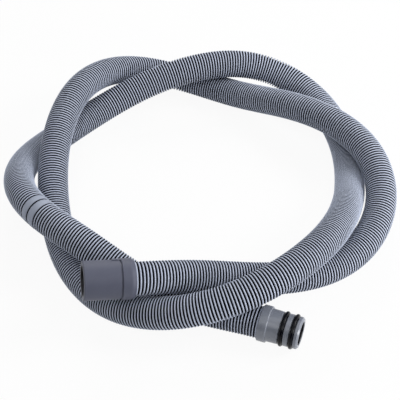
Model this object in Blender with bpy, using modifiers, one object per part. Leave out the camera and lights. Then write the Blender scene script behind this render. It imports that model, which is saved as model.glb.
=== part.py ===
"""Drain hose for a dishwasher, lying in two loose turns on the plane Z = 0.

A corrugated hose carries a rubber cuff on one end, which pushes over a drain spigot, and a rigid connector
with two O-rings on the other, which plugs into a socket. Lengths are metres and angles degrees. The origin
is under the middle of the turns, and +Y points away from the side where both ends lie.
"""

import math

import bmesh
import bpy
import numpy as np
from mathutils import Vector

# Clearance between two pieces that touch on the real product.
FIT_GAP = 0.0003

# Hose. The diameter is over the ridges, and the depth is how far an end goes into its fitting.
HOSE_DIAMETER = 0.024
HOSE_POINTS = 80
HOSE_BEVEL_RESOLUTION = 4
HOSE_DEPTH_IN_CUFF = 0.010
HOSE_DEPTH_IN_CONNECTOR = 0.004

# Centreline of the hose from the cuff to the connector, where it lies free.
HOSE_ROUTE = [
    (-0.0450, -0.1250, 0.0465),
    (0.0025, -0.1130, 0.0350),
    (0.0505, -0.1050, 0.0240),
    (0.0945, -0.0915, 0.0200),
    (0.1265, -0.0640, 0.0225),
    (0.1415, -0.0245, 0.0295),
    (0.1355, 0.0185, 0.0365),
    (0.1110, 0.0570, 0.0365),
    (0.0760, 0.0900, 0.0280),
    (0.0375, 0.1195, 0.0155),
    (-0.0015, 0.1420, 0.0125),
    (-0.0400, 0.1470, 0.0205),
    (-0.0740, 0.1295, 0.0350),
    (-0.0995, 0.0945, 0.0440),
    (-0.1135, 0.0500, 0.0400),
    (-0.1160, 0.0015, 0.0290),
    (-0.1085, -0.0465, 0.0165),
    (-0.0905, -0.0895, 0.0120),
    (-0.0605, -0.1220, 0.0150),
    (-0.0210, -0.1385, 0.0255),
    (0.0225, -0.1365, 0.0375),
    (0.0640, -0.1150, 0.0445),
    (0.0955, -0.0810, 0.0445),
    (0.1125, -0.0405, 0.0340),
    (0.1210, 0.0035, 0.0180),
    (0.1225, 0.0505, 0.0125),
    (0.1105, 0.0955, 0.0155),
    (0.0840, 0.1280, 0.0230),
    (0.0465, 0.1395, 0.0330),
    (0.0030, 0.1325, 0.0370),
    (-0.0435, 0.1180, 0.0295),
    (-0.0855, 0.0945, 0.0190),
    (-0.1190, 0.0610, 0.0165),
    (-0.1395, 0.0220, 0.0240),
    (-0.1390, -0.0195, 0.0345),
    (-0.1170, -0.0555, 0.0395),
    (-0.0820, -0.0825, 0.0345),
    (-0.0440, -0.1040, 0.0205),
    (-0.0030, -0.1215, 0.0125),
    (0.0440, -0.1370, 0.0135),
]

# Directions of travel along the hose at its two ends: turned about +Z, then lifted.
CUFF_YAW = 10.5
CUFF_LIFT = -7.5
CONNECTOR_YAW = -20.2
CONNECTOR_LIFT = 0.0

# Cuff, from its open mouth to the collar that grips the hose. The mouth's wall is round the socket, and
# the walls of neck and collar are round the hose.
CUFF_LENGTH = 0.0360
CUFF_SOCKET_DIAMETER = 0.0210
CUFF_SOCKET_DEPTH = 0.0240
CUFF_SHOULDER = 0.0020
CUFF_MOUTH_WALL = 0.0034
CUFF_MOUTH_CHAMFER = 0.0006
CUFF_BEAD_WIDTH = 0.0014
CUFF_BEAD_HEIGHT = 0.00015
CUFF_NECK_WALL = 0.0016
CUFF_STEP_GROOVE_WIDTH = 0.0009
CUFF_STEP_GROOVE_DEPTH = 0.0005
CUFF_COLLAR_LENGTH = 0.0093
CUFF_COLLAR_WALL = 0.0022
CUFF_COLLAR_ROUNDING = 0.0035
CUFF_EDGE_ROUNDING = 0.0004

# Moulding tab on the cuff, against the collar on the side away from the floor.
TAB_LENGTH = 0.0065
TAB_WIDTH = 0.0035
TAB_HEIGHT = 0.0006
TAB_ROUNDING = 0.0002
TAB_ANGLE = 56.0

# Connector, from its collar to its tip. The collar's wall is round the hose.
COLLAR_LENGTH = 0.0065
COLLAR_WALL = 0.0009
COLLAR_ROUNDING = 0.0024
COLLAR_CHAMFER = 0.0005
SPIGOT_LENGTH = 0.0086
SPIGOT_DIAMETER = 0.0240
SPIGOT_END_DIAMETER = 0.0235
GROOVE_WIDTH = 0.0039
LAND_WIDTH = 0.0035
LAND_DIAMETER = 0.0234
TIP_LENGTH = 0.0032
TIP_DIAMETER = 0.0232
TIP_CHAMFER = 0.0012
CONNECTOR_BORE_DIAMETER = 0.0168
TIP_BORE_CHAMFER = 0.0008

# O-rings, by section and outer diameter. Each groove floor follows from them.
O_RING_SECTION = 0.0030
O_RING_DIAMETER = 0.0256

# How finely round shapes and the hose's curve are divided.
ROUND_STEPS = 48
O_RING_SECTION_STEPS = 12
FILLET_STEPS = 4
CURVE_STEPS = 20
SHARP_ANGLE = 30.0


def clear_scene():
    for obj in list(bpy.data.objects):
        bpy.data.objects.remove(obj, do_unlink=True)


def collection(name):
    made = bpy.data.collections.new(name)
    bpy.context.scene.collection.children.link(made)
    return made


def material(name, colour, roughness):
    made = bpy.data.materials.new(name)
    made.use_nodes = True
    shader = made.node_tree.nodes["Principled BSDF"]
    shader.inputs["Base Color"].default_value = (*colour, 1.0)
    shader.inputs["Roughness"].default_value = roughness
    shader.inputs["Metallic"].default_value = 0.0
    return made


def direction(yaw, lift):
    """Unit vector that starts along +X, is turned about +Z by yaw and then lifted."""
    level = math.cos(math.radians(lift))
    return Vector(
        (
            level * math.cos(math.radians(yaw)),
            level * math.sin(math.radians(yaw)),
            math.sin(math.radians(lift)),
        )
    )


def smooth_curve(route, first_direction, last_direction, count):
    """Points spaced evenly along the cubic spline through the route.

    The spline leaves its first point and reaches its last one along the given directions, and its bend
    changes evenly in between.
    """
    points = np.array(route)
    spacing = np.linalg.norm(np.diff(points, axis=0), axis=1).mean()
    size = len(points)
    system = np.eye(size)
    wanted = np.zeros((size, 3))
    wanted[0] = np.array(first_direction) * spacing
    wanted[-1] = np.array(last_direction) * spacing
    for i in range(1, size - 1):
        system[i, i - 1 : i + 2] = (1.0, 4.0, 1.0)
        wanted[i] = 3.0 * (points[i + 1] - points[i - 1])
    slopes = np.linalg.solve(system, wanted)

    def at(place):
        i = min(int(place), size - 2)
        t = place - i
        return (
            (2 * t**3 - 3 * t**2 + 1) * points[i]
            + (t**3 - 2 * t**2 + t) * slopes[i]
            + (3 * t**2 - 2 * t**3) * points[i + 1]
            + (t**3 - t**2) * slopes[i + 1]
        )

    fine = np.array([at(place) for place in np.linspace(0, size - 1, CURVE_STEPS * size)])
    travelled = np.concatenate([[0.0], np.cumsum(np.linalg.norm(np.diff(fine, axis=0), axis=1))])
    wanted_lengths = np.linspace(0.0, travelled[-1], count)
    return np.stack([np.interp(wanted_lengths, travelled, fine[:, axis]) for axis in range(3)], axis=1)


def fillet(corner, before, after, radius):
    """Arc of (x, z) points that rounds a profile's corner with the given radius."""
    corner = Vector(corner)
    back = (Vector(before) - corner).normalized()
    on = (Vector(after) - corner).normalized()
    half_angle = back.angle(on) / 2
    reach = radius / math.tan(half_angle)
    centre = corner + (back + on).normalized() * (radius / math.sin(half_angle))
    start = corner + back * reach - centre
    end = corner + on * reach - centre
    turn = start.angle(end)
    arc = []
    for i in range(FILLET_STEPS + 1):
        share = i / FILLET_STEPS
        swung = (
            start * math.sin((1 - share) * turn) + end * math.sin(share * turn)
        ) / math.sin(turn)
        arc.append(tuple(centre + swung))
    return arc


def rounded(outline, roundings):
    """The outline with the corners that roundings names, by their place in the list, made into arcs."""
    points = []
    for i, corner in enumerate(outline):
        if i in roundings:
            before = outline[i - 1]
            after = outline[(i + 1) % len(outline)]
            points += fillet(corner, before, after, roundings[i])
        else:
            points.append(corner)
    return points


def turned_piece(name, outline, into, finish):
    """Solid of revolution about Z from a closed (radius, height) outline that runs down its outer side."""
    mesh = bpy.data.meshes.new(name)
    count = len(outline)
    vertices = [(radius, 0.0, height) for radius, height in outline]
    edges = [(i, (i + 1) % count) for i in range(count)]
    mesh.from_pydata(vertices, edges, [])
    piece = bpy.data.objects.new(name, mesh)
    into.objects.link(piece)
    turn = piece.modifiers.new("turn", "SCREW")
    turn.axis = "Z"
    turn.angle = math.radians(360)
    turn.steps = ROUND_STEPS
    turn.render_steps = ROUND_STEPS
    turn.use_merge_vertices = True
    turn.merge_threshold = 0.00001
    turn.use_smooth_shade = True
    mesh.materials.append(finish)
    return piece


def settle_shape(piece):
    """Keeps the mesh that the piece's modifiers make, shaded smooth between its sharp edges."""
    bpy.context.view_layer.update()
    evaluated = piece.evaluated_get(bpy.context.evaluated_depsgraph_get())
    made = bpy.data.meshes.new_from_object(evaluated)
    piece.modifiers.clear()
    piece.data = made
    made.name = piece.name
    made.shade_smooth()
    made.set_sharp_from_angle(angle=math.radians(SHARP_ANGLE))


def lay_along(piece, place, along):
    """Puts the piece's Z axis along a direction in space, with its X axis kept level."""
    piece.location = place
    piece.rotation_mode = "QUATERNION"
    piece.rotation_quaternion = along.to_track_quat("Z", "Y")


def hose(into, finish):
    """Round tube along the route, with a straight end inside each fitting."""
    first = direction(CUFF_YAW, CUFF_LIFT)
    last = direction(CONNECTOR_YAW, CONNECTOR_LIFT)
    free = smooth_curve(HOSE_ROUTE, first, last, HOSE_POINTS - 2)
    inside_cuff = free[0] - HOSE_DEPTH_IN_CUFF * np.array(first)
    inside_connector = free[-1] + HOSE_DEPTH_IN_CONNECTOR * np.array(last)
    centreline = np.concatenate([[inside_cuff], free, [inside_connector]])

    shape = bpy.data.curves.new("corrugated_hose", "CURVE")
    shape.dimensions = "3D"
    shape.bevel_depth = HOSE_DIAMETER / 2
    shape.bevel_resolution = HOSE_BEVEL_RESOLUTION
    shape.use_fill_caps = True
    shape.twist_mode = "MINIMUM"
    line = shape.splines.new("POLY")
    line.points.add(len(centreline) - 1)
    for point, place in zip(line.points, centreline):
        point.co = (*place, 1.0)
    line.use_smooth = True
    shape.materials.append(finish)
    piece = bpy.data.objects.new("corrugated_hose", shape)
    into.objects.link(piece)
    return piece


def seat_radius():
    """Radius of the round seat in each fitting that holds an end of the hose."""
    return HOSE_DIAMETER / 2 + FIT_GAP


def cuff_outline():
    """The cuff's section. Height 0 is the collar's end, where the hose leaves, and the mouth is below it."""
    mouth = -CUFF_LENGTH
    step = -CUFF_COLLAR_LENGTH
    bead = mouth + CUFF_BEAD_WIDTH
    seat = seat_radius()
    seat_floor = -(HOSE_DEPTH_IN_CUFF + FIT_GAP)
    socket_radius = CUFF_SOCKET_DIAMETER / 2
    socket_floor = mouth + CUFF_SOCKET_DEPTH
    passage_radius = min(socket_radius, seat) - CUFF_SHOULDER
    mouth_radius = socket_radius + CUFF_MOUTH_WALL
    bead_radius = mouth_radius + CUFF_BEAD_HEIGHT
    neck_radius = seat + CUFF_NECK_WALL
    groove_radius = neck_radius - CUFF_STEP_GROOVE_DEPTH
    groove_end = step - CUFF_STEP_GROOVE_WIDTH
    collar_radius = seat + CUFF_COLLAR_WALL
    outline = [
        (seat, 0.0),
        (collar_radius, 0.0),
        (collar_radius, step),
        (groove_radius, step),
        (groove_radius, groove_end),
        (neck_radius, groove_end),
        (mouth_radius, bead),
        (bead_radius, bead),
        (bead_radius, mouth),
        (socket_radius + CUFF_MOUTH_CHAMFER, mouth),
        (socket_radius, mouth + CUFF_MOUTH_CHAMFER),
        (socket_radius, socket_floor),
        (passage_radius, socket_floor),
        (passage_radius, seat_floor),
        (seat, seat_floor),
    ]
    largest_rounding = CUFF_COLLAR_WALL - FIT_GAP
    roundings = {
        1: min(CUFF_COLLAR_ROUNDING, largest_rounding),
        2: CUFF_EDGE_ROUNDING,
        8: CUFF_EDGE_ROUNDING,
    }
    return rounded(outline, roundings)


def tab_block(into, finish):
    """Block that becomes the cuff's tab: its foot lies inside the wall, and it reaches into the collar."""
    step = -CUFF_COLLAR_LENGTH
    foot = seat_radius() + CUFF_NECK_WALL / 2
    top = seat_radius() + CUFF_NECK_WALL + TAB_HEIGHT
    overlap = CUFF_COLLAR_LENGTH / 4
    form = bmesh.new()
    bmesh.ops.create_cube(form, size=1.0)
    bmesh.ops.scale(form, vec=(top - foot, TAB_WIDTH, TAB_LENGTH + overlap), verts=form.verts)
    middle = (0.5 * (top + foot), 0.0, step + 0.5 * (overlap - TAB_LENGTH))
    bmesh.ops.translate(form, vec=middle, verts=form.verts)
    bmesh.ops.bevel(
        form,
        geom=form.edges[:],
        offset=TAB_ROUNDING,
        offset_type="OFFSET",
        segments=2,
        profile=0.5,
        affect="EDGES",
    )
    mesh = bpy.data.meshes.new("cuff_tab_block")
    form.to_mesh(mesh)
    form.free()
    mesh.materials.append(finish)
    block = bpy.data.objects.new("cuff_tab_block", mesh)
    block.hide_render = True
    block.display_type = "WIRE"
    into.objects.link(block)
    return block


def cuff(into, cutters, finish):
    """The rubber cuff, on the hose's first end."""
    piece = turned_piece("drain_cuff", cuff_outline(), into, finish)
    along = direction(CUFF_YAW, CUFF_LIFT)
    lay_along(piece, HOSE_ROUTE[0], along)
    block = tab_block(cutters, finish)
    block.parent = piece
    block.rotation_euler = (0.0, 0.0, math.radians(TAB_ANGLE))
    join = piece.modifiers.new("tab", "BOOLEAN")
    join.operation = "UNION"
    join.solver = "EXACT"
    join.object = block
    settle_shape(piece)
    return piece


def groove_floor_radius():
    return O_RING_DIAMETER / 2 - O_RING_SECTION - FIT_GAP


def groove_starts():
    """Distances from the collar's end to the start of each O-ring groove."""
    first = COLLAR_LENGTH + SPIGOT_LENGTH
    return [first, first + GROOVE_WIDTH + LAND_WIDTH]


def connector_length():
    return groove_starts()[-1] + GROOVE_WIDTH + TIP_LENGTH


def connector_outline():
    """The connector's section. Height 0 is the collar's end, where the hose goes in, and the tip is on top."""
    tip = connector_length()
    first, second = groove_starts()
    seat = seat_radius()
    seat_floor = HOSE_DEPTH_IN_CONNECTOR + FIT_GAP
    collar_radius = seat + COLLAR_WALL
    land_radius = LAND_DIAMETER / 2
    tip_radius = TIP_DIAMETER / 2
    floor_radius = groove_floor_radius()
    bore_radius = CONNECTOR_BORE_DIAMETER / 2
    outline = [
        (bore_radius + TIP_BORE_CHAMFER, tip),
        (tip_radius - TIP_CHAMFER, tip),
        (tip_radius, tip - TIP_CHAMFER),
        (tip_radius, second + GROOVE_WIDTH),
        (floor_radius, second + GROOVE_WIDTH),
        (floor_radius, second),
        (land_radius, second),
        (land_radius, first + GROOVE_WIDTH),
        (floor_radius, first + GROOVE_WIDTH),
        (floor_radius, first),
        (SPIGOT_END_DIAMETER / 2, first),
        (SPIGOT_DIAMETER / 2, COLLAR_LENGTH),
        (collar_radius - COLLAR_CHAMFER, COLLAR_LENGTH),
        (collar_radius, COLLAR_LENGTH - COLLAR_CHAMFER),
        (collar_radius, 0.0),
        (seat, 0.0),
        (seat, seat_floor),
        (bore_radius, seat_floor),
        (bore_radius, tip - TIP_BORE_CHAMFER),
    ]
    largest_rounding = COLLAR_WALL - FIT_GAP
    return rounded(outline, {14: min(COLLAR_ROUNDING, largest_rounding)})


def connector(into, finish):
    """The rigid connector, on the hose's last end."""
    piece = turned_piece("hose_connector", connector_outline(), into, finish)
    lay_along(piece, HOSE_ROUTE[-1], direction(CONNECTOR_YAW, CONNECTOR_LIFT))
    settle_shape(piece)
    return piece


def o_ring(name, groove_start, into, finish):
    """Round rubber ring in the middle of its groove."""
    bpy.ops.mesh.primitive_torus_add(
        major_segments=ROUND_STEPS,
        minor_segments=O_RING_SECTION_STEPS,
        major_radius=(O_RING_DIAMETER - O_RING_SECTION) / 2,
        minor_radius=O_RING_SECTION / 2,
    )
    ring = bpy.context.object
    ring.name = name
    ring.data.name = name
    for holder in list(ring.users_collection):
        holder.objects.unlink(ring)
    into.objects.link(ring)
    along = direction(CONNECTOR_YAW, CONNECTOR_LIFT)
    middle = groove_start + GROOVE_WIDTH / 2
    lay_along(ring, Vector(HOSE_ROUTE[-1]) + along * middle, along)
    ring.data.materials.append(finish)
    ring.data.shade_smooth()
    return ring


def main():
    clear_scene()
    parts = collection("dishwasher_drain_hose")
    cutters = collection("cutters")
    hose_plastic = material("hose_plastic", (0.28, 0.30, 0.35), 0.45)
    cuff_rubber = material("cuff_rubber", (0.11, 0.115, 0.14), 0.60)
    connector_plastic = material("connector_plastic", (0.19, 0.21, 0.24), 0.40)
    ring_rubber = material("ring_rubber", (0.01, 0.01, 0.012), 0.35)

    hose(parts, hose_plastic)
    cuff(parts, cutters, cuff_rubber)
    connector(parts, connector_plastic)
    for name, groove_start in zip(("o_ring_inner", "o_ring_tip"), groove_starts()):
        o_ring(name, groove_start, parts, ring_rubber)


main()
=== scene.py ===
"""Dishwasher drain hose: the dressed object, its floor, its light and its camera.

Lengths are metres and angles degrees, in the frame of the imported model: Z = 0 is the floor, and +Y points
away from the side where both ends of the hose lie.
"""

import math

import bmesh
import bpy
import numpy as np
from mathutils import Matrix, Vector


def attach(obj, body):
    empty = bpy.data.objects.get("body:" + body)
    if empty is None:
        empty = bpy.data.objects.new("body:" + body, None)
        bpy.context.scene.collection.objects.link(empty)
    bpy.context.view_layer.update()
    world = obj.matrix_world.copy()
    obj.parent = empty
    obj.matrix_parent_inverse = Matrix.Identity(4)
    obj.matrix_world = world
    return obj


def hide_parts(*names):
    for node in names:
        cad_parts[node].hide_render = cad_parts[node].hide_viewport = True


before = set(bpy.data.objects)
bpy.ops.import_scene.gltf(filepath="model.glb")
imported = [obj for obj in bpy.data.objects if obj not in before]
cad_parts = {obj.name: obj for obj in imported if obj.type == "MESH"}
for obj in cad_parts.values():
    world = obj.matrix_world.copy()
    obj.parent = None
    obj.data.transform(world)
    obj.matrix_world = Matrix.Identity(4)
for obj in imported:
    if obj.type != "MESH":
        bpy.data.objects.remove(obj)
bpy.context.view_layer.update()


# Hose: one length of blow-moulded polypropylene, 24 mm over its ridges and corrugated so that it bends, with
# two plain bands moulded in. It lies in loose turns, with each strand resting on the one below.

HOSE_DIAMETER = 0.0240
HOSE_SIDES = 24
SPAN_STEPS = 400

# A ridge takes up a share of its pitch. The wall of a groove slants by GROOVE_WALL.
RIDGE_SHARE = 0.46
RIDGE_ROUNDING = 0.00030
GROOVE_WALL = 0.00020
GROOVE_DEPTH = 0.00150
GROOVE_RADIUS = HOSE_DIAMETER / 2 - GROOVE_DEPTH

# Spacing of the ridges, as (distance along the free hose from the cuff, pitch). It changes as if handling had
# drawn the hose out in some stretches and pushed it together in others.
RIDGE_SPACING = [
    (0.000, 0.00230),
    (0.150, 0.00205),
    (0.240, 0.00235),
    (0.430, 0.00240),
    (0.550, 0.00255),
    (0.770, 0.00210),
    (0.960, 0.00225),
    (1.020, 0.00190),
    (1.060, 0.00225),
    (1.100, 0.00200),
    (1.190, 0.00190),
    (1.240, 0.00255),
    (1.330, 0.00225),
    (1.420, 0.00240),
    (1.470, 0.00190),
    (1.545, 0.00190),
    (1.585, 0.00245),
    (1.640, 0.00215),
    (1.790, 0.00225),
]

# Plain bands, as distances along the free hose from the cuff, and the gap between them and the next ridges.
BANDS = [(1.60100, 1.60625), (1.60755, 1.61325)]
BAND_GAP = 0.00130

# The hose's ends, which lie straight inside the two fittings, and the bore that opens at each.
DEPTH_IN_CUFF = 0.0100
DEPTH_IN_CONNECTOR = 0.0040
HOSE_BORE = 0.0190
BORE_SHOWN = 0.0300

# Centreline of the free hose, from where it leaves the cuff to where it enters the connector.
HOSE_ROUTE = [
    (-0.0450, -0.1250, 0.0465),
    (0.0025, -0.1130, 0.0350),
    (0.0505, -0.1050, 0.0240),
    (0.0945, -0.0915, 0.0200),
    (0.1265, -0.0640, 0.0225),
    (0.1415, -0.0245, 0.0295),
    (0.1355, 0.0185, 0.0365),
    (0.1110, 0.0570, 0.0365),
    (0.0760, 0.0900, 0.0280),
    (0.0375, 0.1195, 0.0155),
    (-0.0015, 0.1420, 0.0125),
    (-0.0400, 0.1470, 0.0205),
    (-0.0740, 0.1295, 0.0350),
    (-0.0995, 0.0945, 0.0440),
    (-0.1135, 0.0500, 0.0400),
    (-0.1160, 0.0015, 0.0290),
    (-0.1085, -0.0465, 0.0165),
    (-0.0905, -0.0895, 0.0120),
    (-0.0605, -0.1220, 0.0150),
    (-0.0210, -0.1385, 0.0255),
    (0.0225, -0.1365, 0.0375),
    (0.0640, -0.1150, 0.0445),
    (0.0955, -0.0810, 0.0445),
    (0.1125, -0.0405, 0.0340),
    (0.1210, 0.0035, 0.0180),
    (0.1225, 0.0505, 0.0125),
    (0.1105, 0.0955, 0.0155),
    (0.0840, 0.1280, 0.0230),
    (0.0465, 0.1395, 0.0330),
    (0.0030, 0.1325, 0.0370),
    (-0.0435, 0.1180, 0.0295),
    (-0.0855, 0.0945, 0.0190),
    (-0.1190, 0.0610, 0.0165),
    (-0.1395, 0.0220, 0.0240),
    (-0.1390, -0.0195, 0.0345),
    (-0.1170, -0.0555, 0.0395),
    (-0.0820, -0.0825, 0.0345),
    (-0.0440, -0.1040, 0.0205),
    (-0.0030, -0.1215, 0.0125),
    (0.0440, -0.1370, 0.0135),
]

# Directions of travel at the two ends, turned about +Z and then lifted.
CUFF_YAW = 10.5
CUFF_LIFT = -7.5
CONNECTOR_YAW = -20.2
CONNECTOR_LIFT = 0.0

# Painted light and shade on the hose, as a tone from 0 on the floor of a groove to 1 on a crest. Up to
# GROOVE_TONE it has the nearly black colour of painted groove shade. The crests' edges carry painted shade
# and the crests a painted highlight, so the plain bands, of the same plastic, are a little darker than the
# crests.
GROOVE_TONE = 0.60
CREST_EDGE_SHADE = 0.80
BAND_TONE = 0.84

# Crest colours, lightened by a painted highlight, and the nearly black painted shade of the grooves.
RIDGE_COLOURS = ("#c5cee2", "#d3dbef")
GROOVE_SHADE_COLOUR = "#03050d"
CLOUD_SIZE = 1 / 30
HOSE_ROUGHNESS = (0.30, 0.42)
HOSE_GRAIN = 0.0003
GRAIN_DEPTH = 0.0001


def linear(hex_colour):
    """Linear RGBA of an sRGB hex colour."""
    channels = [int(hex_colour[i : i + 2], 16) / 255 for i in (1, 3, 5)]
    return (*[c / 12.92 if c <= 0.04045 else ((c + 0.055) / 1.055) ** 2.4 for c in channels], 1.0)


def fill(owner, node, inputs):
    """Sets a node's inputs. An input given as another node's output is linked to it."""
    for name, value in inputs.items():
        if isinstance(value, bpy.types.NodeSocket):
            owner.node_tree.links.new(value, node.inputs[name])
        else:
            node.inputs[name].default_value = value


def add_node(owner, kind, settings=None, inputs=None):
    """Adds a node to a material or world, with its settings and inputs."""
    node = owner.node_tree.nodes.new(kind)
    for name, value in (settings or {}).items():
        setattr(node, name, value)
    fill(owner, node, inputs or {})
    return node


def noise(owner, where, size, **settings):
    """Output of a noise that changes over about the given size."""
    inputs = {"Vector": where, "Scale": 1 / size, **settings}
    return add_node(owner, "ShaderNodeTexNoise", inputs=inputs).outputs["Fac"]


def mixed(owner, share, first, second):
    """Output of a colour between two, which are hex colours or other nodes' outputs."""
    first, second = (linear(colour) if isinstance(colour, str) else colour for colour in (first, second))
    inputs = {0: share, 6: first, 7: second}
    return add_node(owner, "ShaderNodeMix", {"data_type": "RGBA"}, inputs).outputs[2]


def ranged(owner, share, levels):
    """Output of a value between two levels."""
    inputs = {"Value": share, "To Min": levels[0], "To Max": levels[1]}
    return add_node(owner, "ShaderNodeMapRange", inputs=inputs).outputs["Result"]


def bumped(owner, height, strength, depth):
    """Output of a normal that follows a height from 0 to 1."""
    inputs = {"Height": height, "Strength": strength, "Distance": depth}
    return add_node(owner, "ShaderNodeBump", inputs=inputs).outputs["Normal"]


def new_material(name):
    """New material and its Principled shader, which is wired to the output."""
    material = bpy.data.materials.new(name)
    material.use_nodes = True
    return material, material.node_tree.nodes["Principled BSDF"]


def new_object(name, data):
    """Object that shows the data, put into the scene."""
    made = bpy.data.objects.new(name, data)
    bpy.context.scene.collection.objects.link(made)
    return made


def direction(yaw, lift):
    """Unit vector that starts along +X, is turned about +Z by yaw and then lifted."""
    yaw, lift = math.radians(yaw), math.radians(lift)
    return Vector((math.cos(lift) * math.cos(yaw), math.cos(lift) * math.sin(yaw), math.sin(lift)))


def spline(route, first, last, per_span):
    """Points and directions along the cubic spline through the route, with given directions at its ends."""
    points = np.array(route)
    count = len(points)
    spacing = np.linalg.norm(np.diff(points, axis=0), axis=1).mean()
    system = np.eye(count)
    wanted = np.zeros((count, 3))
    wanted[0], wanted[-1] = np.array(first) * spacing, np.array(last) * spacing
    for i in range(1, count - 1):
        system[i, i - 1 : i + 2] = (1.0, 4.0, 1.0)
        wanted[i] = 3.0 * (points[i + 1] - points[i - 1])
    slopes = np.linalg.solve(system, wanted)
    place = np.linspace(0, count - 1, per_span * (count - 1) + 1)
    i = np.minimum(place.astype(int), count - 2)
    t = (place - i)[:, None]
    line = (
        (2 * t**3 - 3 * t**2 + 1) * points[i]
        + (t**3 - 2 * t**2 + t) * slopes[i]
        + (3 * t**2 - 2 * t**3) * points[i + 1]
        + (t**3 - t**2) * slopes[i + 1]
    )
    ahead = (
        (6 * t**2 - 6 * t) * (points[i] - points[i + 1])
        + (3 * t**2 - 4 * t + 1) * slopes[i]
        + (3 * t**2 - 2 * t) * slopes[i + 1]
    )
    return line, ahead / np.linalg.norm(ahead, axis=1)[:, None]


def ridge_rings(crests):
    """Rings of (distance, radius, painted light tone): crests rounded on top, with flat grooves between them.
    """
    top = HOSE_DIAMETER / 2
    rings = []
    for start, end in crests:
        rings.append((start - GROOVE_WALL, GROOVE_RADIUS, 0.0))
        rings.append((start, top - RIDGE_ROUNDING, CREST_EDGE_SHADE))
        if end - start < 4 * RIDGE_ROUNDING:
            rings.append(((start + end) / 2, top, 1.0))
        else:
            # Only the plain bands are wide enough for a flat top.
            rings.append((start + 2 * RIDGE_ROUNDING, top, BAND_TONE))
            rings.append((end - 2 * RIDGE_ROUNDING, top, BAND_TONE))
        rings.append((end, top - RIDGE_ROUNDING, CREST_EDGE_SHADE))
        rings.append((end + GROOVE_WALL, GROOVE_RADIUS, 0.0))
    return rings


def tube(name, centres, directions, radii, sides):
    """Closed mesh tube with a ring round each centre, square to its direction and without any twist."""
    across = Vector((0.0, 0.0, 1.0))
    vertices = []
    turns = np.linspace(0.0, 2 * math.pi, sides, endpoint=False)
    for centre, ahead, radius in zip(centres, directions, radii):
        ahead = Vector(ahead)
        across = (across - ahead * across.dot(ahead)).normalized()
        other = ahead.cross(across)
        ring = np.outer(np.cos(turns), across) + np.outer(np.sin(turns), other)
        vertices.append(np.array(centre) + radius * ring)
    vertices = np.concatenate(vertices)
    faces = [
        (i * sides + k, i * sides + (k + 1) % sides, (i + 1) * sides + (k + 1) % sides, (i + 1) * sides + k)
        for i in range(len(centres) - 1)
        for k in range(sides)
    ]
    faces.append(tuple(range(sides))[::-1])
    faces.append(tuple(range(len(vertices) - sides, len(vertices))))
    mesh = bpy.data.meshes.new(name)
    mesh.from_pydata(vertices.tolist(), [], faces)
    mesh.shade_smooth()
    return new_object(name, mesh)


cuff_direction = direction(CUFF_YAW, CUFF_LIFT)
connector_direction = direction(CONNECTOR_YAW, CONNECTOR_LIFT)
line, ahead = spline(HOSE_ROUTE, cuff_direction, connector_direction, SPAN_STEPS)
inside_cuff = line[0] - DEPTH_IN_CUFF * np.array(cuff_direction)
inside_connector = line[-1] + DEPTH_IN_CONNECTOR * np.array(connector_direction)
line = np.concatenate([[inside_cuff], line, [inside_connector]])
ahead = np.concatenate([[ahead[0]], ahead, [ahead[-1]]])
steps = np.linalg.norm(np.diff(line, axis=0), axis=1)
travelled = np.concatenate([[0.0], np.cumsum(steps)]) - DEPTH_IN_CUFF

hose_start, hose_end = -DEPTH_IN_CUFF, travelled[-1]
band_start, band_end = BANDS[0][0] - BAND_GAP, BANDS[-1][1] + BAND_GAP

# The ridges are counted outwards from the bands, so that a whole one stands next to them on each side.
pitch = np.interp(travelled, *np.transpose(RIDGE_SPACING))
count = np.concatenate([[0.0], np.cumsum(steps / pitch[1:])])
before_bands = np.arange(np.interp(band_start, travelled, count), 1.0, -1.0)[::-1]
after_bands = np.arange(np.interp(band_end, travelled, count), count[-1] - 1.0)
ridge_widths = RIDGE_SHARE * pitch
crests = []
for at in np.interp(before_bands, count, travelled):
    crests.append((at - np.interp(at, travelled, ridge_widths), at))
crests += BANDS
for at in np.interp(after_bands, count, travelled):
    crests.append((at, at + np.interp(at, travelled, ridge_widths)))
rings = ridge_rings(crests)

# The wall at each end, and the bore that runs on inside it.
bore_radius = HOSE_BORE / 2
rings = [
    (hose_start + BORE_SHOWN, bore_radius, 0.0),
    (hose_start, bore_radius, 0.0),
    (hose_start, GROOVE_RADIUS, 0.0),
    *rings,
    (hose_end, GROOVE_RADIUS, 0.0),
    (hose_end, bore_radius, 0.0),
    (hose_end - BORE_SHOWN, bore_radius, 0.0),
]
distances, radii, painted_tones = np.array(rings).T
centres = np.stack([np.interp(distances, travelled, line[:, axis]) for axis in range(3)], axis=1)
directions = np.stack([np.interp(distances, travelled, ahead[:, axis]) for axis in range(3)], axis=1)
directions /= np.linalg.norm(directions, axis=1)[:, None]

hose = tube("drain_hose", centres, directions, radii, HOSE_SIDES)
# Painted light and shade of each ring: shade in the grooves and on the crests' edges, a highlight on the
# crests.
painted_ridge_light = hose.data.attributes.new("painted_ridge_light", "FLOAT", "POINT")
painted_ridge_light.data.foreach_set("value", np.repeat(painted_tones, HOSE_SIDES))

# Polypropylene, left as it came off the mould: a satin light grey with faint clouds. The grooves are narrow
# and deep and dull, and their shade is painted in as a nearly black colour. The crests carry a painted
# highlight and their edges painted shade.
polypropylene, shader = new_material("moulded_polypropylene_grey")
where = add_node(polypropylene, "ShaderNodeTexCoord").outputs["Object"]
clouds = noise(polypropylene, where, CLOUD_SIZE, Detail=3.0, Roughness=0.5)
tone = add_node(polypropylene, "ShaderNodeAttribute", {"attribute_name": "painted_ridge_light"})
on_ridge = add_node(
    polypropylene,
    "ShaderNodeMapRange",
    inputs={"Value": tone.outputs["Fac"], "From Min": GROOVE_TONE, "From Max": 1.0},
).outputs["Result"]
ridge_colour = mixed(polypropylene, clouds, *RIDGE_COLOURS)
ridge_roughness = ranged(polypropylene, clouds, HOSE_ROUGHNESS)
roughness = add_node(polypropylene, "ShaderNodeMix", inputs={0: on_ridge, 2: 1.0, 3: ridge_roughness})
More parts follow.
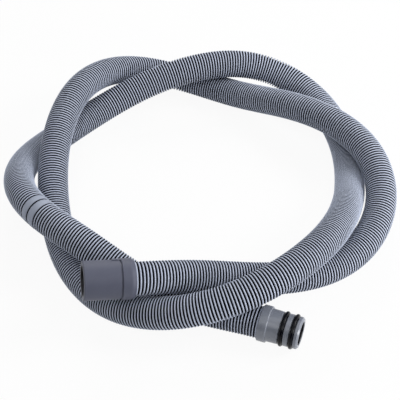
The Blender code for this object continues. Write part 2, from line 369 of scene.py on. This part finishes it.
# The grain that the mould leaves.
grain = noise(polypropylene, where, HOSE_GRAIN, Detail=2.0)
surface = {
    # Painted shade in the grooves and on the crests' edges, and a painted highlight on the crests.
    "Base Color": mixed(polypropylene, on_ridge, GROOVE_SHADE_COLOUR, ridge_colour),
    "Roughness": roughness.outputs[0],
    "Normal": bumped(polypropylene, grain, 0.15, GRAIN_DEPTH),
    "IOR": 1.49,
    "Specular IOR Level": 0.20,
}
fill(polypropylene, shader, surface)
hose.data.materials.append(polypropylene)

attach(hose, "root")
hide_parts("corrugated_hose")


# Cuff, the push-on end: moulded rubber, which grips the hose in its collar and stretches over the drain
# spigot at its mouth. A bead stiffens the mouth, and the small tab is taken for the mark of the filling.

CUFF_LENGTH = 0.0360
SOCKET_RADIUS = 0.0105
SOCKET_DEPTH = 0.0240
PASSAGE_RADIUS = 0.0085
MOUTH_RADIUS = 0.0139
BEAD_WIDTH = 0.0014
BEAD_HEIGHT = 0.00015
NECK_RADIUS = 0.0139
STEP_GROOVE_WIDTH = 0.0010
STEP_GROOVE_DEPTH = 0.0007
CUFF_COLLAR_LENGTH = 0.0093
CUFF_COLLAR_RADIUS = 0.0145
CUFF_END_RADIUS = 0.0131
CUFF_END_TAPER = 0.0028
SEAT_RADIUS = 0.0123
CUFF_SEAT_DEPTH = 0.0103

# Length, width and height of the tab, the rounding of its edges, and its angle round the cuff.
TAB = (0.0065, 0.0035, 0.0006)
TAB_ROUNDING = 0.0002
TAB_ANGLE = 56.0

# Edges that turn by more than this stay sharp.
SHARP_ANGLE = 35.0

CUFF_COLOURS = ("#494c5c", "#535666")
BLOOM_SIZE = 0.008
CUFF_ROUGHNESS = (0.50, 0.62)
CUFF_GRAIN = 0.00025

# Painted shade inside a bore: its colour fades out between these distances beyond the bore's radius.
BORE_SHADE_COLOUR = "#0c0d12"
BORE_SHADE_FADE = (0.0001, 0.0005)


def rounded(corners, steps=5):
    """The outline through (radius, height, rounding) corners, with each rounding drawn as an arc."""
    outline = []
    for i, (radius, level, rounding) in enumerate(corners):
        corner = Vector((radius, level))
        if rounding == 0:
            outline.append(corner)
            continue
        back = (Vector(corners[i - 1][:2]) - corner).normalized()
        on = (Vector(corners[(i + 1) % len(corners)][:2]) - corner).normalized()
        half = back.angle(on) / 2
        centre = corner + (back + on).normalized() * rounding / math.sin(half)
        start = corner + back * rounding / math.tan(half) - centre
        end = corner + on * rounding / math.tan(half) - centre
        turn = start.angle(end)
        for k in range(steps + 1):
            share = k / steps
            swung = start * math.sin((1 - share) * turn) + end * math.sin(share * turn)
            outline.append(centre + swung / math.sin(turn))
    return outline


def turned(name, outline, place, along, steps=144):
    """Solid of revolution with its Z axis laid from a place along a direction."""
    turns = np.linspace(0.0, 2 * math.pi, steps, endpoint=False)
    vertices = [(r * math.cos(a), r * math.sin(a), z) for r, z in outline for a in turns]
    count = len(outline)
    faces = []
    for i in range(count):
        here, there = i * steps, (i + 1) % count * steps
        for k in range(steps):
            on = (k + 1) % steps
            faces.append((here + k, here + on, there + on, there + k))
    mesh = bpy.data.meshes.new(name)
    mesh.from_pydata(vertices, [], faces)
    shape = bmesh.new()
    shape.from_mesh(mesh)
    bmesh.ops.recalc_face_normals(shape, faces=shape.faces)
    shape.to_mesh(mesh)
    shape.free()
    piece = new_object(name, mesh)
    piece.location = place
    piece.rotation_mode = "QUATERNION"
    piece.rotation_quaternion = along.to_track_quat("Z", "Y")
    return piece


def shade(piece):
    """Shades the piece smooth between its sharp edges, with flat faces kept flat."""
    piece.data.shade_smooth()
    piece.data.set_sharp_from_angle(angle=math.radians(SHARP_ANGLE))
    even = piece.modifiers.new("even_shading", "WEIGHTED_NORMAL")
    even.keep_sharp = True


# Profile as (radius, height, rounding) corners: along the outside to the mouth and back inside. Heights run
# from the end that takes the hose.
mouth = -CUFF_LENGTH
step = -CUFF_COLLAR_LENGTH
cuff_corners = [
    (SEAT_RADIUS, 0.0, 0.0001),
    (CUFF_END_RADIUS, 0.0, 0.0005),
    (CUFF_COLLAR_RADIUS, -CUFF_END_TAPER, 0.0040),
    (CUFF_COLLAR_RADIUS, step, 0.0004),
    (NECK_RADIUS - STEP_GROOVE_DEPTH, step, 0.0001),
    (NECK_RADIUS - STEP_GROOVE_DEPTH, step - STEP_GROOVE_WIDTH, 0.0001),
    (NECK_RADIUS, step - STEP_GROOVE_WIDTH, 0.0002),
    (MOUTH_RADIUS, mouth + BEAD_WIDTH, 0.0),
    (MOUTH_RADIUS + BEAD_HEIGHT, mouth + BEAD_WIDTH, 0.0001),
    (MOUTH_RADIUS + BEAD_HEIGHT, mouth, 0.0008),
    (SOCKET_RADIUS, mouth, 0.0006),
    (SOCKET_RADIUS, mouth + SOCKET_DEPTH, 0.0),
    (PASSAGE_RADIUS, mouth + SOCKET_DEPTH, 0.0),
    (PASSAGE_RADIUS, -CUFF_SEAT_DEPTH, 0.0),
    (SEAT_RADIUS, -CUFF_SEAT_DEPTH, 0.0),
]
cuff_place = Vector(HOSE_ROUTE[0])
cuff = turned("push_on_cuff", rounded(cuff_corners), cuff_place, cuff_direction)

# The tab, as a block whose foot lies inside the wall and which runs into the collar.
tab_length, tab_width, tab_height = TAB
foot, top = (SEAT_RADIUS + NECK_RADIUS) / 2, NECK_RADIUS + tab_height
overlap = CUFF_COLLAR_LENGTH / 4
form = bmesh.new()
bmesh.ops.create_cube(form, size=1.0)
bmesh.ops.scale(form, vec=(top - foot, tab_width, tab_length + overlap), verts=form.verts)
bmesh.ops.translate(form, vec=((top + foot) / 2, 0.0, step + (overlap - tab_length) / 2), verts=form.verts)
bmesh.ops.bevel(
    form,
    geom=form.edges[:],
    offset=TAB_ROUNDING,
    offset_type="OFFSET",
    segments=3,
    profile=0.5,
    affect="EDGES",
)
block_mesh = bpy.data.meshes.new("tab_block")
form.to_mesh(block_mesh)
form.free()
block = new_object("tab_block", block_mesh)
block.parent = cuff
block.rotation_euler = (0.0, 0.0, math.radians(TAB_ANGLE))
union = cuff.modifiers.new("tab", "BOOLEAN")
union.operation = "UNION"
union.solver = "EXACT"
union.object = block
bpy.context.view_layer.update()
cuff_mesh = bpy.data.meshes.new_from_object(cuff.evaluated_get(bpy.context.evaluated_depsgraph_get()))
cuff.modifiers.clear()
cuff.data = cuff_mesh
bpy.data.objects.remove(block)
shade(cuff)


def painted_bore_shade(owner, where, colour, bore_radius):
    """Output of a colour with painted shade, which turns nearly black within the bore, where little light
    gets in.
    """
    axes = add_node(owner, "ShaderNodeSeparateXYZ", inputs={"Vector": where})
    across = add_node(owner, "ShaderNodeCombineXYZ", inputs={"X": axes.outputs["X"], "Y": axes.outputs["Y"]})
    radius = add_node(owner, "ShaderNodeVectorMath", {"operation": "LENGTH"}, {0: across.outputs["Vector"]})
    outside = add_node(
        owner,
        "ShaderNodeMapRange",
        inputs={
            "Value": radius.outputs["Value"],
            "From Min": bore_radius + BORE_SHADE_FADE[0],
            "From Max": bore_radius + BORE_SHADE_FADE[1],
        },
    )
    return mixed(owner, outside.outputs["Result"], BORE_SHADE_COLOUR, colour)


# EPDM rubber, moulded: dark grey and matt, with a fine eroded grain and a faint paler bloom.
rubber, shader = new_material("moulded_epdm_rubber_grey")
where = add_node(rubber, "ShaderNodeTexCoord").outputs["Object"]
bloom = noise(rubber, where, BLOOM_SIZE, Detail=4.0, Roughness=0.6)
grain = noise(rubber, where, CUFF_GRAIN, Detail=3.0)
bloomed = mixed(rubber, bloom, *CUFF_COLOURS)
surface = {
    # Painted shade within the socket.
    "Base Color": painted_bore_shade(rubber, where, bloomed, SOCKET_RADIUS),
    "Roughness": ranged(rubber, bloom, CUFF_ROUGHNESS),
    "Normal": bumped(rubber, grain, 0.25, GRAIN_DEPTH),
    "IOR": 1.52,
    "Specular IOR Level": 0.35,
}
fill(rubber, shader, surface)
cuff.data.materials.clear()
cuff.data.materials.append(rubber)

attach(cuff, "root")
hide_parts("drain_cuff")


# Connector, the plug-in end: injection-moulded polypropylene, welded to the hose in its collar. Its spigot
# narrows to two grooves that hold the O-rings, and the chamfered tip leads it into its socket.

COLLAR_LENGTH = 0.0065
COLLAR_RADIUS = 0.0132
SPIGOT_LENGTH = 0.0086
SPIGOT_RADIUS = 0.0120
SPIGOT_END_RADIUS = 0.01175
RING_GROOVE_WIDTH = 0.0039
RING_GROOVE_RADIUS = 0.0095
LAND_WIDTH = 0.0035
LAND_RADIUS = 0.0117
TIP_LENGTH = 0.0032
TIP_RADIUS = 0.0116
TIP_CHAMFER = 0.0012
CONNECTOR_BORE_RADIUS = 0.0084
CONNECTOR_SEAT_DEPTH = 0.0043

CONNECTOR_COLOURS = ("#7a7e8a", "#848993")
FLOW_SIZE = 0.005
CONNECTOR_ROUGHNESS = (0.24, 0.34)
CONNECTOR_GRAIN = 0.0003

# Profile as (radius, height, rounding) corners: along the outside from the tip and back inside. Heights run
# from the end that takes the hose.
first_groove = COLLAR_LENGTH + SPIGOT_LENGTH
second_groove = first_groove + RING_GROOVE_WIDTH + LAND_WIDTH
tip = second_groove + RING_GROOVE_WIDTH + TIP_LENGTH
connector_corners = [
    (CONNECTOR_BORE_RADIUS, tip, 0.0008),
    (TIP_RADIUS - TIP_CHAMFER, tip, 0.0002),
    (TIP_RADIUS, tip - TIP_CHAMFER, 0.0003),
    (TIP_RADIUS, second_groove + RING_GROOVE_WIDTH, 0.0002),
    (RING_GROOVE_RADIUS, second_groove + RING_GROOVE_WIDTH, 0.0),
    (RING_GROOVE_RADIUS, second_groove, 0.0),
    (LAND_RADIUS, second_groove, 0.0002),
    (LAND_RADIUS, first_groove + RING_GROOVE_WIDTH, 0.0002),
    (RING_GROOVE_RADIUS, first_groove + RING_GROOVE_WIDTH, 0.0),
    (RING_GROOVE_RADIUS, first_groove, 0.0),
    (SPIGOT_END_RADIUS, first_groove, 0.0006),
    (SPIGOT_RADIUS, COLLAR_LENGTH, 0.0),
    (COLLAR_RADIUS, COLLAR_LENGTH, 0.0008),
    (COLLAR_RADIUS, 0.0, 0.0006),
    (SEAT_RADIUS, 0.0, 0.0002),
    (SEAT_RADIUS, CONNECTOR_SEAT_DEPTH, 0.0),
    (CONNECTOR_BORE_RADIUS, CONNECTOR_SEAT_DEPTH, 0.0),
]
connector_place = Vector(HOSE_ROUTE[-1])
connector = turned("plug_in_connector", rounded(connector_corners), connector_place, connector_direction)
shade(connector)

# Glass-filled polypropylene, injection-moulded: a satin mid grey with faint flow clouds.
filled, shader = new_material("moulded_glass_filled_polypropylene")
where = add_node(filled, "ShaderNodeTexCoord").outputs["Object"]
flow = noise(filled, where, FLOW_SIZE, Detail=4.0, Distortion=0.6)
grain = noise(filled, where, CONNECTOR_GRAIN, Detail=2.0)
cloudy = mixed(filled, flow, *CONNECTOR_COLOURS)
surface = {
    # Painted shade within the bore.
    "Base Color": painted_bore_shade(filled, where, cloudy, CONNECTOR_BORE_RADIUS),
    "Roughness": ranged(filled, flow, CONNECTOR_ROUGHNESS),
    "Normal": bumped(filled, grain, 0.12, GRAIN_DEPTH),
    "IOR": 1.49,
}
fill(filled, shader, surface)
connector.data.materials.append(filled)

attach(connector, "root")
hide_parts("hose_connector")


# O-rings: two moulded nitrile rings, 3 mm thick and stretched into the connector's grooves, where they stand
# proud and seal in the socket. They are greased so that they slide in.

RING_SECTION_RADIUS = 0.0015
RING_RADIUS = 0.0128
RING_SECTION_SIDES = 24

RING_COLOUR = "#02030a"
SMEAR_SIZE = 0.002
SMEAR_DEPTH = 0.0002
RING_ROUGHNESS = (0.12, 0.30)

# Nitrile rubber with a film of silicone grease: black, with a soft wet highlight.
nitrile, shader = new_material("greased_nitrile_rubber_black")
where = add_node(nitrile, "ShaderNodeTexCoord").outputs["Object"]
smears = noise(nitrile, where, SMEAR_SIZE, Detail=3.0, Distortion=1.5)
surface = {
    "Base Color": linear(RING_COLOUR),
    "Roughness": ranged(nitrile, smears, RING_ROUGHNESS),
    "Normal": bumped(nitrile, smears, 0.3, SMEAR_DEPTH),
    "IOR": 1.52,
    "Specular IOR Level": 0.12,
}
fill(nitrile, shader, surface)

section = [
    (
        RING_RADIUS - RING_SECTION_RADIUS + RING_SECTION_RADIUS * math.cos(angle),
        RING_SECTION_RADIUS * math.sin(angle),
    )
    for angle in np.linspace(0.0, 2 * math.pi, RING_SECTION_SIDES, endpoint=False)
]
for name, node, groove in (
    ("seal_ring_inner", "o_ring_inner", first_groove),
    ("seal_ring_tip", "o_ring_tip", second_groove),
):
    middle = connector_place + connector_direction * (groove + RING_GROOVE_WIDTH / 2)
    ring = turned(name, section, middle, connector_direction)
    ring.data.shade_smooth()
    ring.data.materials.append(nitrile)
    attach(ring, "root")
    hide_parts(node)


# Floor: plain white paper, matt. The camera sees mostly its own white, so that it stays white in the picture
# and keeps a soft shadow.

FLOOR_SIZE = 6.0
FLOOR_COLOUR = "#f2f2f2"
FLOOR_OWN_WHITE = 0.93


def background_seen(owner):
    """Output that is 1 for rays that show the background: the camera's, mirrored or through a material."""
    rays = add_node(owner, "ShaderNodeLightPath")
    seen = rays.outputs["Is Camera Ray"]
    for kind in ("Is Glossy Ray", "Is Transmission Ray"):
        seen = add_node(
            owner, "ShaderNodeMath", {"operation": "MAXIMUM"}, {0: seen, 1: rays.outputs[kind]}
        ).outputs["Value"]
    return seen


bpy.ops.mesh.primitive_plane_add(size=FLOOR_SIZE)
floor = bpy.context.object
floor.name = "floor"
paper, shader = new_material("white_paper")
fill(paper, shader, {"Base Color": linear(FLOOR_COLOUR), "Roughness": 0.9})
seen = background_seen(paper)
own_white = add_node(paper, "ShaderNodeMath", {"operation": "MULTIPLY"}, {0: seen, 1: FLOOR_OWN_WHITE})
white = add_node(paper, "ShaderNodeEmission", inputs={"Strength": 1.0})
seen_floor = add_node(
    paper,
    "ShaderNodeMixShader",
    inputs={0: own_white.outputs["Value"], 1: shader.outputs["BSDF"], 2: white.outputs["Emission"]},
)
fill(paper, paper.node_tree.nodes["Material Output"], {"Surface": seen_floor.outputs["Shader"]})
floor.data.materials.append(paper)


# Light: a soft box high on the right, with weaker ones low on the right, on the left, behind, overhead and in
# front, and an even white surround. A black card behind the camera keeps the near side a little darker.

CARD_PLACE = (0.0, -1.5, 0.75)
CARD_WIDTH = 3.0
CARD_HEIGHT = 1.5
CARD_COLOUR = "#101010"
SURROUND_LIGHT = 0.06


def soft_box(name, place, size, power):
    """Square area light that is aimed at the middle of the hose."""
    lamp = bpy.data.lights.new(name, "AREA")
    lamp.shape = "SQUARE"
    lamp.size = size
    lamp.energy = power
    light = new_object(name, lamp)
    light.location = place
    light.rotation_euler = (-Vector(place)).to_track_quat("-Z", "Y").to_euler()


soft_box("soft_box_right", (1.0, 0.0, 0.7), 0.5, 8.5)
soft_box("soft_box_low_right", (0.9, -0.5, 0.12), 0.25, 4.0)
soft_box("soft_box_left", (-1.0, 0.1, 0.5), 0.4, 1.5)
soft_box("soft_box_behind", (0.0, 1.0, 0.8), 0.6, 6.0)
soft_box("soft_box_overhead", (0.0, 0.15, 1.15), 0.8, 2.0)
soft_box("soft_box_front", (0.0, -0.9, 1.0), 0.6, 4.5)

bpy.ops.mesh.primitive_plane_add(size=1.0, location=CARD_PLACE, rotation=(math.radians(90), 0.0, 0.0))
card = bpy.context.object
card.name = "black_card"
card.scale = (CARD_WIDTH, CARD_HEIGHT, 1.0)
card.visible_camera = False
card_black, shader = new_material("black_card")
fill(card_black, shader, {"Base Color": linear(CARD_COLOUR), "Roughness": 0.9})
card.data.materials.append(card_black)

studio = bpy.data.worlds.new("studio")
studio.use_nodes = True
bpy.context.scene.world = studio
seen = background_seen(studio)
level = ranged(studio, seen, (SURROUND_LIGHT, 1.0))
surround = studio.node_tree.nodes["Background"]
fill(studio, surround, {"Color": (1.0, 1.0, 1.0, 1.0), "Strength": level})


# Camera: above the near side and looking down at 44 degrees, as in the photo, with a long lens that shows
# the hose from about 0.83 m away.

CAMERA_PLACE = (0.0008, -0.59746, 0.57851)
CAMERA_TILT = 46.0
CAMERA_LENS = 92.0

camera = bpy.data.cameras.new("camera")
camera.sensor_width = 36.0
camera.lens = CAMERA_LENS
viewer = new_object("camera", camera)
viewer.location = CAMERA_PLACE
viewer.rotation_euler = (math.radians(CAMERA_TILT), 0.0, 0.0)
bpy.context.scene.camera = viewer
bpy.context.scene.view_settings.view_transform = "Standard"
